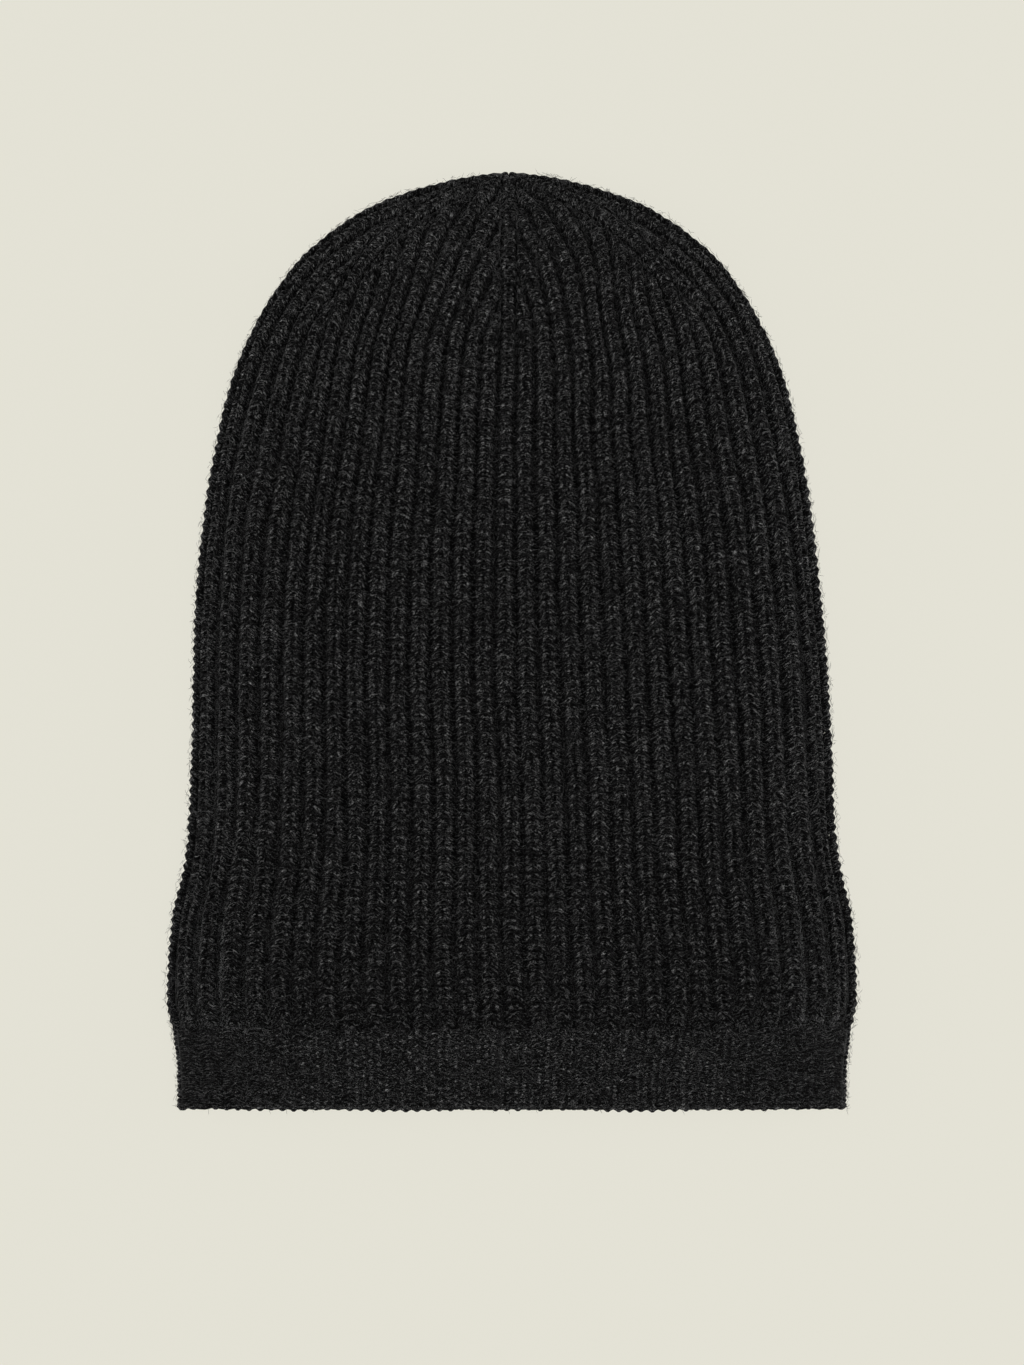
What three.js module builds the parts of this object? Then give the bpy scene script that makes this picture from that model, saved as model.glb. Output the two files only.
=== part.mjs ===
// A ribbed slouch beanie, knitted in charcoal wool, lying flat on its back layer.
// Sizes are in millimetres. X runs across the beanie, +Y from the brim edge to the crown tip, +Z up.
// The origin is on the surface that the beanie lies on, under the middle of it.

import * as THREE from "three";

// Driving dimensions
const BAND_HEIGHT = 26.2; // brim edge to the top of the tight band
const SEAM_GAP = 0.3; // clearance between the band and the body
const TIP_HEIGHT = 306.4; // brim edge to the crown tip
const MOUTH_HEIGHT = BAND_HEIGHT + SEAM_GAP; // lower end of the body
const BODY_WALL = 3.8; // body knitting, from its rib tops to its inside
const BAND_WALL = 2.6; // band knitting, from its rib tops to its inside
const BODY_RIB_DEPTH = 1.5; // how deep the grooves lie between the body ribs
const BAND_RIB_DEPTH = 0.6; // how deep the grooves lie between the band ribs
const BAND_HALF_WIDTH = 110.0; // half the width of the band laid flat
const BAND_STEP_DOWN = 1.4; // how far the band's top layer lies below the body's

// Ribs, counted in whole ribs from the middle of the front
const RIBS_AROUND = 60;
const FOLD_RIB = 15; // the rib on the side fold
const MIDDLE_RIB = 5; // the rib half way between two darts, which lie on ribs 0, 10, 20 and so on
const NARROWEST_RIB = 6.25; // ribs keep this pitch in the crown, and end at a dart
const RIDGE_HALF = 0.27; // half the flat top of a rib, as a share of its pitch
const GROOVE_HALF = 0.5; // middle of the groove, as a share of its pitch
const DART_CLEARANCE = 0.62; // a rib nearer than this to a dart has ended there

// Knitted rows, counted up from the band
const KNIT_ROWS = 98.8;
const SHOULDER_ROW = 46; // above it the rows fan out round the crown
const OUTER_ROWS = [0, 2, 4.5, 9, 13, 17, 23, 34, 46, 56, 64, 71, 77, 82, 86, 89.5, 92.5, 95, 97];
const INNER_ROWS = [0, 4.5, 13, 23, 46, 64, 77, 86, 91.5, 94.5];
const BAND_ROWS = [0, BAND_HEIGHT / 2, BAND_HEIGHT]; // heights of the band's rows of points
const INNER_TIP = 6.5; // how far the hollow ends below the crown tip

// Steps of a plain inner row, from a middle line to a fold. crowding over 1 draws them to the fold.
const PLAIN_STEPS = { count: 10, crowding: 1.7 };
const MOUTH_STEPS = { count: 30, crowding: 1 }; // two for each rib, to meet the ribs at a mouth

// Cross section: the side fold lies above the surface, and both layers round over to it
const TOP_ROUNDING = 60; // how far in from the fold the top layer keeps rising
const UNDER_ROUNDING = 18; // how far in from the fold the back layer lies clear of the surface
const ARC_STEPS = 24; // steps in which the rounding's length is summed
const HALVINGS = 24; // steps in which a distance is found from a length
const OUTLINE_STEPS = 160; // straight steps that stand for the outline when distances to it are taken

// Turns rows of numbers into rows with named columns
function table(columns, rows) {
  return rows.map((row) => Object.fromEntries(columns.map((name, i) => [name, row[i]])));
}

// Outer outline of the body laid flat, from the band up to the tip
const FOLD_OUTLINE = table(
  ["across", "up"],
  [
    [111.6, MOUTH_HEIGHT],
    [113.2, 32.5],
    [113.5, 39.5],
    [112.8, 52],
    [111.4, 64.5],
    [108.4, 77],
    [106.4, 91],
    [105.3, 115],
    [104.0, 148],
    [102.0, 175],
    [98.6, 203],
    [93.7, 228],
    [89.8, 241.5],
    [84.2, 254.5],
    [76.5, 267.5],
    [66.1, 280.5],
    [48.6, 293.6],
    [32.5, 300.3],
    [16, 304.6],
    [0, TIP_HEIGHT],
  ],
);

// The shoulder dart, which runs up beside the fold and then over to the tip
const SPINE_LINE = table(
  ["across", "up"],
  [
    [75.4, MOUTH_HEIGHT],
    [76.0, 45],
    [72.0, 91],
    [70.2, 148],
    [67.4, 190],
    [63.4, 215],
    [60.4, 240],
    [56.6, 265],
    [51.7, 274.7],
    [41.9, 284],
    [22.2, 297],
    [0, TIP_HEIGHT],
  ],
);

// The rib half way between the front dart and the shoulder dart
const MIDDLE_LINE = table(
  ["across", "up"],
  [
    [37.7, MOUTH_HEIGHT],
    [38.0, 45],
    [36.0, 91],
    [35.1, 148],
    [33.7, 190],
    [31.7, 215],
    [30.9, 238],
    [29.9, 260],
    [28.1, 275.5],
    [23.5, 285],
    [17.3, 293.6],
    [6.5, 303.6],
    [0, TIP_HEIGHT],
  ],
);

const CENTRE_LINE = table(
  ["across", "up"],
  [
    [0, MOUTH_HEIGHT],
    [0, 150],
    [0, TIP_HEIGHT],
  ],
);

// How the section changes up the beanie: height of the side fold above the surface,
// rise of the top layer over the fold, and sideways shift of the whole section
const SECTIONS = table(
  ["up", "fold", "rise", "shift"],
  [
    [0, 7.4, 8.4, 0],
    [26, 8.4, 11.2, 0],
    [60, 9.2, 14.2, 0],
    [120, 9.4, 15.4, 0],
    [185, 9.2, 15.2, -1.2],
    [250, 8.6, 13.6, -1.2],
    [307, 7.6, 11.4, -1.1],
  ],
);

// Soft dents in the top layer, beside the foot of the front dart, and the dart's own valley
const DENTS = table(
  ["across", "up", "radius", "depth"],
  [
    [21, 256, 13, 1.3],
    [48, 247, 16, 0.8],
  ],
);
const VALLEY = { foot: 240, full: 280, depth: 1.1, halfWidth: 7 };

const KNIT_COLOUR = new THREE.Color().setRGB(0.105, 0.105, 0.107, THREE.SRGBColorSpace);

// A guide is a line up the knitting, with the row pitch that it has in the straight body
function guide(rows, rowPitch) {
  const curve = new THREE.SplineCurve(rows.map((r) => new THREE.Vector2(r.across, r.up)));
  return { curve, rowPitch, length: curve.getLength() };
}

const GUIDES = {
  centre: guide(CENTRE_LINE, 2.84),
  middle: guide(MIDDLE_LINE, 2.87),
  spine: guide(SPINE_LINE, 2.96),
  fold: guide(FOLD_OUTLINE, 3.07),
};

// Where a guide line is at a knitted row, seen from above
function guidePoint(line, row) {
  const shoulder = SHOULDER_ROW * line.rowPitch;
  const reach =
    row < SHOULDER_ROW
      ? row * line.rowPitch
      : THREE.MathUtils.mapLinear(row, SHOULDER_ROW, KNIT_ROWS, shoulder, line.length);
  return line.curve.getPointAt(Math.min(reach / line.length, 1));
}

// The section's sizes at a height, eased between the rows of the table
function sectionAt(up) {
  const top = SECTIONS.findIndex((s) => s.up > up);
  const i = top < 0 ? SECTIONS.length - 1 : Math.max(top, 1);
  const [low, high] = [SECTIONS[i - 1], SECTIONS[i]];
  const share = THREE.MathUtils.smoothstep(up, low.up, high.up);
  const mix = (column) => THREE.MathUtils.lerp(low[column], high[column], share);
  return { fold: mix("fold"), rise: mix("rise"), shift: mix("shift") };
}

const OUTLINE_POINTS = GUIDES.fold.curve.getSpacedPoints(OUTLINE_STEPS);

// Distance from the side fold to a point seen from above, and the way inwards from there
function bodyEdge(point) {
  let best = null;
  for (let i = 1; i < OUTLINE_POINTS.length; i++) {
    const start = OUTLINE_POINTS[i - 1];
    const along = OUTLINE_POINTS[i].clone().sub(start);
    const share = THREE.MathUtils.clamp(point.clone().sub(start).dot(along) / along.lengthSq(), 0, 1);
    const distance = point.distanceTo(start.clone().addScaledVector(along, share));
    if (!best || distance < best.distance) {
      best = { distance, inward: new THREE.Vector2(-along.y, along.x).normalize() };
    }
  }
  return best;
}

// The band's side folds are straight
function bandEdge(point) {
  return { distance: BAND_HALF_WIDTH - point.x, inward: new THREE.Vector2(-1, 0) };
}

// How much lower the top layer lies at its dents and along the front dart
function dentAt(point) {
  const dents = DENTS.map((d) => {
    const away = Math.hypot(point.x - d.across, point.y - d.up) / d.radius;
    return d.depth * Math.exp(-away * away);
  });
  const along = THREE.MathUtils.smoothstep(point.y, VALLEY.foot, VALLEY.full);
  const across = Math.exp(-((point.x / VALLEY.halfWidth) ** 2));
  return dents.reduce((sum, depth) => sum + depth, VALLEY.depth * along * across);
}

// One layer of a knitted piece: front is the top layer, the other is the back layer on the surface.
// inset is how far inside the rib tops the wanted skin lies: 0 for the outside, the wall for the inside.
function layer(edge, front, inset, stepDown) {
  const reach = (front ? TOP_ROUNDING : UNDER_ROUNDING) - inset;
  const heightOver = (section) => (front ? section.rise - stepDown : section.fold) - inset;
  return { edge, front, inset, reach, heightOver };
}

// Arc length of the rounded edge from the fold in to a distance seen from above
function arcOf(skin, section, distance) {
  const height = skin.heightOver(section);
  const end = Math.acos(1 - Math.min(distance / skin.reach, 1));
  let arc = Math.max(distance - skin.reach, 0);
  for (let i = 0; i < ARC_STEPS; i++) {
    const angle = (end * (i + 0.5)) / ARC_STEPS;
    arc += (Math.hypot(skin.reach * Math.sin(angle), height * Math.cos(angle)) * end) / ARC_STEPS;
  }
  return arc;
}

// The distance in from the fold that has a given arc length, by halving
function distanceOf(skin, section, arc) {
  let low = 0;
  let high = arc;
  for (let i = 0; i < HALVINGS; i++) {
    const half = (low + high) / 2;
    if (arcOf(skin, section, half) < arc) low = half;
    else high = half;
  }
  return (low + high) / 2;
}

// The point in space for a point seen from above, sunk below the skin by a depth
function lift(skin, point, side, depth) {
  const section = sectionAt(point.y);
  const { distance, inward } = skin.edge(point);
  const height = skin.heightOver(section);
  const angle = Math.acos(1 - THREE.MathUtils.clamp((distance - skin.inset) / skin.reach, 0, 1));
  const up = skin.front ? 1 : -1;
  const normal = new THREE.Vector3(
    -inward.x * height * Math.cos(angle),
    -inward.y * height * Math.cos(angle),
    up * skin.reach * Math.sin(angle),
  ).normalize();
  const dent = skin.front ? dentAt(point) * Math.sin(angle) : 0;
  const z = section.fold + up * height * Math.sin(angle) - dent;
  const place = new THREE.Vector3(point.x, point.y, z).addScaledVector(normal, -depth);
  return new THREE.Vector3(side * place.x + section.shift, place.y, place.z);
}

// Points of the ribs between a sector's middle and a dart. They keep their pitch from the middle,
// and those that reach the dart have ended, so that only the dart's own rib is left there.
function ribPoints({ from, to, span, firstRib, step, place }) {
  const pitch = Math.max(span / MIDDLE_RIB, NARROWEST_RIB);
  const points = [];
  const add = (rib, distance, ridge) => {
    if (distance > 0) points.push({ rib: firstRib + step * rib, ridge, at: place(from, to, distance) });
  };
  for (let i = 0; i <= MIDDLE_RIB; i++) {
    for (const offset of [-RIDGE_HALF, RIDGE_HALF, GROOVE_HALF]) {
      const rib = i + offset;
      if (rib * pitch < span - DART_CLEARANCE * pitch) add(rib, rib * pitch, offset !== GROOVE_HALF);
    }
  }
  add(MIDDLE_RIB - GROOVE_HALF, span - GROOVE_HALF * pitch, false);
  add(MIDDLE_RIB - RIDGE_HALF, span - RIDGE_HALF * pitch, true);
  return points;
}

// The point at a distance from one point towards another
function towards(from, to, distance) {
  return from.clone().add(to.clone().sub(from).setLength(distance));
}

// A quarter of a row of the body, from the middle of a layer out to the side fold
function bodyQuarter(row, skin) {
  const [centre, middle, spine, fold] = Object.values(GUIDES).map((line) => guidePoint(line, row));
  const section = sectionAt(fold.y);
  const rounded = (from, to, arc) => towards(from, to, distanceOf(skin, section, arc));
  const flat = { from: middle, firstRib: MIDDLE_RIB, place: towards };
  return [
    ...ribPoints({ ...flat, to: centre, span: middle.distanceTo(centre), step: -1 }),
    ...ribPoints({ ...flat, to: spine, span: middle.distanceTo(spine), step: 1 }),
    ...ribPoints({
      from: fold,
      to: spine,
      span: arcOf(skin, section, fold.distanceTo(spine)),
      firstRib: FOLD_RIB,
      step: -1,
      place: rounded,
    }),
  ];
}

// A quarter of a row of the band, with every rib evenly spaced round the section
function bandQuarter(up, skin) {
  const section = sectionAt(up);
  const fold = new THREE.Vector2(BAND_HALF_WIDTH, up);
  const centre = new THREE.Vector2(0, up);
  const pitch = arcOf(skin, section, BAND_HALF_WIDTH) / FOLD_RIB;
  const points = [];
  for (let rib = GROOVE_HALF; rib < FOLD_RIB; rib += GROOVE_HALF) {
    const distance = distanceOf(skin, section, (FOLD_RIB - rib) * pitch);
    points.push({ rib, ridge: Number.isInteger(rib), at: towards(fold, centre, distance) });
  }
  return points;
}

// A quarter of a plain inner row
function innerQuarter(corners, { count, crowding }) {
  const path = new THREE.CurvePath();
  for (let i = 1; i < corners.length; i++) {
    path.add(new THREE.LineCurve(corners[i - 1], corners[i]));
  }
  const points = [];
  for (let i = 1; i < count; i++) {
    const share = 1 - (1 - i / count) ** crowding;
    points.push({ rib: FOLD_RIB * share, ridge: true, at: path.getPoint(share) });
  }
  return points;
}

// A whole row, from the middle of the top layer round the right fold, the back layer and the left fold.
// ends gives the points on the middle lines and the folds, where the quarters hold none.
function wholeRow({ front, back, skins, grooveDepth = 0, ends = null }) {
  const row = [];
  const half = RIBS_AROUND / 2;
  const put = (skin, point, side, turn) => {
    const place = lift(skin, point.at, side, point.ridge ? 0 : grooveDepth);
    row.push({ turn: (turn + RIBS_AROUND) % RIBS_AROUND, place });
  };
  for (const side of [1, -1]) {
    for (const point of front) put(skins.front, point, side, side * point.rib);
    for (const point of back) put(skins.back, point, side, side * (half - point.rib));
    if (ends) put(skins.front, { at: ends.fold, ridge: true }, side, side * FOLD_RIB);
  }
  if (ends) {
    put(skins.front, { at: ends.centre, ridge: true }, 1, 0);
    put(skins.back, { at: ends.centre, ridge: true }, 1, half);
  }
  return row.sort((a, b) => a.turn - b.turn);
}

// Triangles between two rows that may hold different numbers of points. A pole is a row of one.
function stitch(low, high) {
  const triangles = [];
  const at = (row, k) => row[k % row.length].index;
  const steps = (row) => (row.length > 1 ? row.length : 0);
  const next = (row, k) => {
    if (k >= steps(row)) return Infinity;
    return row[(k + 1) % row.length].turn + (k + 1 < row.length ? 0 : RIBS_AROUND);
  };
  let i = 0;
  let j = 0;
  while (i < steps(low) || j < steps(high)) {
    if (next(low, i) <= next(high, j)) {
      triangles.push(at(low, i), at(low, i + 1), at(high, j));
      i++;
    } else {
      triangles.push(at(low, i), at(high, j + 1), at(high, j));
      j++;
    }
  }
  return triangles;
}

// A closed surface through chains of rows, each row stitched to the next one of its chain
function shell(chains) {
  const places = [];
  const number = (row) => row.map((point) => {
    point.index ??= places.push(point.place) - 1;
    return point;
  });
  const triangles = chains.flatMap((rows) => {
    const numbered = rows.map(number);
    return numbered.slice(1).flatMap((row, k) => stitch(numbered[k], row));
  });
  const geometry = new THREE.BufferGeometry();
  const positions = places.flatMap((place) => place.toArray());
  geometry.setAttribute("position", new THREE.Float32BufferAttribute(positions, 3));
  geometry.setIndex(triangles);
  geometry.computeVertexNormals();
  return geometry;
}

function knitted(name, geometry) {
  const material = new THREE.MeshStandardMaterial({ color: KNIT_COLOUR, roughness: 0.95, metalness: 0 });
  const mesh = new THREE.Mesh(geometry, material);
  mesh.name = name;
  return mesh;
}

// Both layers of one skin of a piece
function skinsOf(edge, inset, stepDown) {
  return { front: layer(edge, true, inset, stepDown), back: layer(edge, false, inset, 0) };
}

// Body and crown: ribbed outside from the band to the tip, plain inside from the tip to the band
function crownBody() {
  const outside = skinsOf(bodyEdge, 0, 0);
  const inside = skinsOf(bodyEdge, BODY_WALL, 0);
  const outerRows = OUTER_ROWS.map((row) => {
    const front = bodyQuarter(row, outside.front);
    const back = bodyQuarter(row, outside.back);
    return wholeRow({ front, back, skins: outside, grooveDepth: BODY_RIB_DEPTH });
  });
  const innerRows = INNER_ROWS.map((row) => {
    const [centre, middle, , fold] = Object.values(GUIDES).map((line) => guidePoint(line, row));
    fold.addScaledVector(bodyEdge(fold).inward, BODY_WALL);
    const quarter = innerQuarter([centre, middle, fold], row > 0 ? PLAIN_STEPS : MOUTH_STEPS);
    return wholeRow({ front: quarter, back: quarter, skins: inside, ends: { centre, fold } });
  });
  for (const point of [...outerRows[0], ...innerRows[0]]) point.place.y = MOUTH_HEIGHT;
  const pole = (skin, up) => [{ turn: 0, place: lift(skin, new THREE.Vector2(0, up), 1, 0) }];
  outerRows.push(pole(outside.front, TIP_HEIGHT));
  innerRows.push(pole(inside.front, TIP_HEIGHT - INNER_TIP));
  innerRows.reverse();
  return knitted("crown_body", shell([outerRows, [...innerRows, outerRows[0]]]));
}

// Band: shallow ribs outside, plain inside, open at both ends
function brimBand() {
  const outside = skinsOf(bandEdge, 0, BAND_STEP_DOWN);
  const inside = skinsOf(bandEdge, BAND_WALL, BAND_STEP_DOWN);
  const outerRows = BAND_ROWS.map((up) => {
    const front = bandQuarter(up, outside.front);
    const back = bandQuarter(up, outside.back);
    const ends = { centre: new THREE.Vector2(0, up), fold: new THREE.Vector2(BAND_HALF_WIDTH, up) };
    return wholeRow({ front, back, skins: outside, grooveDepth: BAND_RIB_DEPTH, ends });
  });
  const innerRows = BAND_ROWS.map((up) => {
    const centre = new THREE.Vector2(0, up);
    const fold = new THREE.Vector2(BAND_HALF_WIDTH - BAND_WALL, up);
    const quarter = innerQuarter([centre, fold], MOUTH_STEPS);
    return wholeRow({ front: quarter, back: quarter, skins: inside, ends: { centre, fold } });
  });
  innerRows.reverse();
  return knitted("brim_band", shell([[...outerRows, ...innerRows, outerRows[0]]]));
}

const beanie = new THREE.Group();
beanie.add(crownBody(), brimBand());
beanie.position.y = -TIP_HEIGHT / 2;

export default beanie;
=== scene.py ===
import math

import bpy
import numpy as np
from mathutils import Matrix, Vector


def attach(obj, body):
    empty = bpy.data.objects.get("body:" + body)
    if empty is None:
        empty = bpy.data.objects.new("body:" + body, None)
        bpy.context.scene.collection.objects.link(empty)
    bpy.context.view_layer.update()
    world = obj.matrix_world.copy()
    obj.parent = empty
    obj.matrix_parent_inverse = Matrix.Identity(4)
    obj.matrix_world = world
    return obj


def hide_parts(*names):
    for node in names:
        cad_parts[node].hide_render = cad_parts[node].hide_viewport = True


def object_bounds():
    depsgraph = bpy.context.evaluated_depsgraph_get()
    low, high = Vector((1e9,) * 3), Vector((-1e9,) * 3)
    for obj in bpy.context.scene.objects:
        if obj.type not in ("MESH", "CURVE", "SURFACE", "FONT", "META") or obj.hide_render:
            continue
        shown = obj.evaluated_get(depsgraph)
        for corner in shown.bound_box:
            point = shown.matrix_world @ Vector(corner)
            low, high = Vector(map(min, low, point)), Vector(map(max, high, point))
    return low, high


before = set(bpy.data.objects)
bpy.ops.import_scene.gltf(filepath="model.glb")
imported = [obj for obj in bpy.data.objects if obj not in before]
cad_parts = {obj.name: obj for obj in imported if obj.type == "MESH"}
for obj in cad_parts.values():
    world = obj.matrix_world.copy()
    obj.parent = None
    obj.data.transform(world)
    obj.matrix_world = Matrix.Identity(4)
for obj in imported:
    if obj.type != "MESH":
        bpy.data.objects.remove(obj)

cad_low, cad_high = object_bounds()

# Camera. It looks straight down on the beanie, as the product photograph does.
# Sizes in this script are millimetres until a mesh, light or camera is made from them.
MM = 0.001
PHOTO_PIXELS_HIGH = 1365
MM_PER_PIXEL = 0.327
BRIM_EDGE_PIXEL = 1108  # the photograph's row on which the brim edge lies
FOLD_LEVEL = 9.0  # height of the side folds, where the scale was taken
LENS = 135.0
SENSOR = 36.0
FARTHEST_SEEN = 20.0  # in metres
BRIM_Y = cad_low.y / MM  # the brim edge in the frame


def add_object(name, data):
    """A new object in the scene for a mesh, a light or the camera."""
    thing = bpy.data.objects.new(name, data)
    bpy.context.scene.collection.objects.link(thing)
    return thing


photo_height = PHOTO_PIXELS_HIGH * MM_PER_PIXEL
camera_data = bpy.data.cameras.new("photo_camera")
camera_data.lens = LENS
camera_data.sensor_width = SENSOR
camera_data.clip_end = FARTHEST_SEEN
camera = add_object("photo_camera", camera_data)
camera.location = (
    0.0,
    (BRIM_Y + (BRIM_EDGE_PIXEL - PHOTO_PIXELS_HIGH / 2) * MM_PER_PIXEL) * MM,
    (FOLD_LEVEL + photo_height * LENS / SENSOR) * MM,
)
bpy.context.scene.camera = camera

# Fabric of the brim band. The band is a tube of 1x1 rib in charcoal melange wool, knitted tighter
# than the body on the same sixty ribs, and it lies flattened. This piece is the fabric behind its
# stitches, inside and out, and reaches up inside the foot of the body.
BAND_HEIGHT = 26.2
BAND_HALF_WIDTH = 110.0
BAND_FLARE = 1.3  # how much wider the band is at its top, where the body starts
FLARE_HEIGHTS = (12.0, 27.0)  # between which the band widens
BAND_WALL = 2.6
BAND_STEP_DOWN = 1.4  # how far the band's top layer lies below the body's
BAND_BACKING = 1.9  # depth of the backing below the tops of the stitches
INSIDE_BACKING = 0.5  # its depth behind the stitches on the inside
BACKING_FOOT = 0.9  # height at which the backing starts
BACKING_REACH = 3.5  # how far it reaches up past the band
BACKING_LEVELS = 12
BACKING_TURN = 0.5  # ribs between its points
RIBS_AROUND = 60
FOLD_RIB = 15  # the rib at the side fold, counted from the middle of a layer
COLUMNS = 9  # columns of skin points across each rib
PRESSED_FLAT = 0.02  # height of wool that is pressed flat where the beanie lies on its back

# Cross section of the whole beanie at heights above the brim edge: height of the side folds over
# the surface, rise of the top layer over the folds, and sideways shift of the section
SECTIONS = np.array(
    [
        # up, fold, rise, shift
        (0, 7.4, 8.4, 0),
        (26, 8.4, 11.2, 0),
        (60, 9.2, 14.2, 0),
        (120, 9.4, 15.4, 0),
        (185, 9.2, 15.2, -1.2),
        (250, 8.6, 13.6, -1.2),
        (307, 7.6, 11.4, -1.1),
    ]
)
# Sideways drift of the top layer's middle, by height above the brim edge. It fades out to the sides
DRIFT = np.array(
    [
        # up, drift
        (0, 0.1),
        (18, 0.3),
        (30, 1.4),
        (42, 0.7),
        (55, 0.0),
        (108, -0.6),
        (133, -1.8),
        (160, -1.5),
        (225, -0.8),
        (238, -0.2),
        (262, 0.0),
        (307, 0.0),
    ]
)
TOP_ROUNDING = 60.0  # how far in from the fold the top layer keeps rising
UNDER_ROUNDING = 18.0  # how far in from the fold the back layer lies clear of the surface
ARC_STEPS = 60
FAR_IN = 400.0  # farther in past the rounding than any point lies
TINY = 1e-6  # keeps a division clear of zero

every_rib = np.arange(RIBS_AROUND)
rib_turns = every_rib[:, None] + np.linspace(-0.5, 0.5, COLUMNS)[None, :]


def ease(value, low, high):
    share = np.clip((value - low) / (high - low), 0, 1)
    return share * share * (3 - 2 * share)


def unit(vectors):
    return vectors / np.maximum(np.linalg.norm(vectors, axis=-1, keepdims=True), TINY)


def section_at(up):
    """Fold height, rise and shift at heights, eased between the rows of the table."""
    above = np.clip(np.searchsorted(SECTIONS[:, 0], up, side="right"), 1, len(SECTIONS) - 1)
    low, high = SECTIONS[above - 1], SECTIONS[above]
    share = ease(up, low[..., 0], high[..., 0])[..., None]
    mixed = low[..., 1:] * (1 - share) + high[..., 1:] * share
    return mixed[..., 0], mixed[..., 1], mixed[..., 2]


def rounding(front, inset):
    return (TOP_ROUNDING if front else UNDER_ROUNDING) - inset


def layer_height(front, inset, up, step_down):
    fold, rise, _ = section_at(up)
    return (rise - step_down if front else fold) - inset


def arc_table(front, inset, up, step_down):
    """Distances in from the fold, and the length along the rounded layer up to each."""
    reach = rounding(front, inset)
    height = layer_height(front, inset, up, step_down)
    angles = np.linspace(0, math.pi / 2, ARC_STEPS)
    middles = (angles[1:] + angles[:-1]) / 2
    pieces = np.hypot(reach * np.sin(middles), height * np.cos(middles)) * (angles[1] - angles[0])
    distances = np.append(reach * (1 - np.cos(angles)), reach + FAR_IN)
    arcs = np.append(np.append(0, np.cumsum(pieces)), np.sum(pieces) + FAR_IN)
    return distances, arcs


def lift(plan, side, front, edge, inset=0.0, step_down=0.0, dents=None):
    """Points and outward normals in space for points of one layer seen from above."""
    fold, _, shift = section_at(plan[..., 1])
    distance, inward = edge(plan)
    height = layer_height(front, inset, plan[..., 1], step_down)
    reach = rounding(front, inset)
    angle = np.arccos(1 - np.clip((distance - inset) / reach, 0, 1))
    up = 1 if front else -1
    lean = (height * np.cos(angle))[..., None] * inward
    normal = unit(np.concatenate([-lean, (up * reach * np.sin(angle))[..., None]], axis=-1))
    sunk = dents(plan) * np.sin(angle) if dents and front else 0
    z = fold + up * height * np.sin(angle) - sunk
    if front:
        drift = np.interp(plan[..., 1], DRIFT[:, 0], DRIFT[:, 1])
        shift = shift + drift * (1 - np.clip(plan[..., 0] / BAND_HALF_WIDTH, 0, 1) ** 2)
    place = np.stack([side * plan[..., 0] + shift, plan[..., 1] + BRIM_Y, z], axis=-1)
    normal[..., 0] *= side
    return place, normal


def band_half(up):
    return BAND_HALF_WIDTH + BAND_FLARE * ease(up, *FLARE_HEIGHTS)


def band_edge(plan):
    """Distance from the band's side folds, and the way inwards from there."""
    inward = np.zeros(plan.shape)
    inward[..., 0] = -1
    return band_half(plan[..., 1]) - plan[..., 0], inward


def around(turn):
    """For a turn round the beanie, counted in ribs from the middle of the front: the side, whether
    it is on the top layer, and the rib counted from the middle of its layer out to the fold."""
    wrapped = (turn + RIBS_AROUND / 2) % RIBS_AROUND - RIBS_AROUND / 2
    side = np.where(wrapped < 0, -1.0, 1.0)
    on_top = np.abs(wrapped) <= FOLD_RIB
    rib = np.where(on_top, np.abs(wrapped), RIBS_AROUND / 2 - np.abs(wrapped))
    return side, on_top, rib


def band_skin(heights, inset=0.0, turns=rib_turns):
    """Points and normals of the band's skin at heights above the brim edge."""
    side, on_top, rib = around(turns)
    places, normals = [], []
    for up in heights:
        half = band_half(up)
        plan = np.zeros(turns.shape + (2,))
        plan[..., 1] = up
        for front in (True, False):
            distances, arcs = arc_table(front, inset, up, BAND_STEP_DOWN)
            whole = np.interp(half - inset, distances, arcs)
            distance = inset + np.interp((1 - rib / FOLD_RIB) * whole, arcs, distances)
            plan[..., 0] = np.where(on_top == front, half - distance, plan[..., 0])
        top = lift(plan, side, True, band_edge, inset, BAND_STEP_DOWN)
        under = lift(plan, side, False, band_edge, inset)
        places.append(np.where(on_top[..., None], top[0], under[0]))
        normals.append(np.where(on_top[..., None], top[1], under[1]))
    return np.array(places), np.array(normals)


def tube_faces(rings, sides, closed, first=0):
    """Quads over rings of points, numbered ring by ring from first. closed joins the last ring to
    the first."""
    ring = np.arange(rings if closed else rings - 1)[:, None]
    side = np.arange(sides)[None, :]
    following = (ring + 1) % rings
    beside = (side + 1) % sides
    corners = (
        ring * sides + side,
        ring * sides + beside,
        following * sides + beside,
        following * sides + side,
    )
    return (np.stack(corners, axis=-1).reshape(-1, 4) + first).tolist()


def build(name, node, points, faces, material, yarn):
    """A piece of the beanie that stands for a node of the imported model. Its points are millimetres.
    yarn holds, for each of them, its place along and around its yarn and its depth below the tops
    of the stitches."""
    points = points.reshape(-1, 3).copy()
    points[:, 2] = np.maximum(points[:, 2], PRESSED_FLAT)
    mesh = bpy.data.meshes.new(name)
    mesh.from_pydata((points * MM).tolist(), [], faces)
    mesh.shade_smooth()
    # Its third value, the depth, sets how much painted shade darkens the wool in grooves and creases.
    attribute = mesh.attributes.new("yarn", "FLOAT_VECTOR", "POINT")
    attribute.data.foreach_set("vector", yarn.astype(np.float32).ravel())
    mesh.materials.append(material)
    piece = add_object(name, mesh)
    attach(piece, "root")
    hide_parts(node)


# A shader node group for melange wool: dark fibres with light ones spun in, drawn out along the yarn
FIBRE_PART = 0.4  # how much the streaks of fibres count in the pattern of light ones
FLECK_PART = 0.34  # how much the flecks count in it
FIRST_LIGHT = 0.75  # where in the pattern light fibres begin, less their share
FULL_LIGHT = 0.78  # where they are fully light
NOISE_MIDDLE = 0.5

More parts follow.
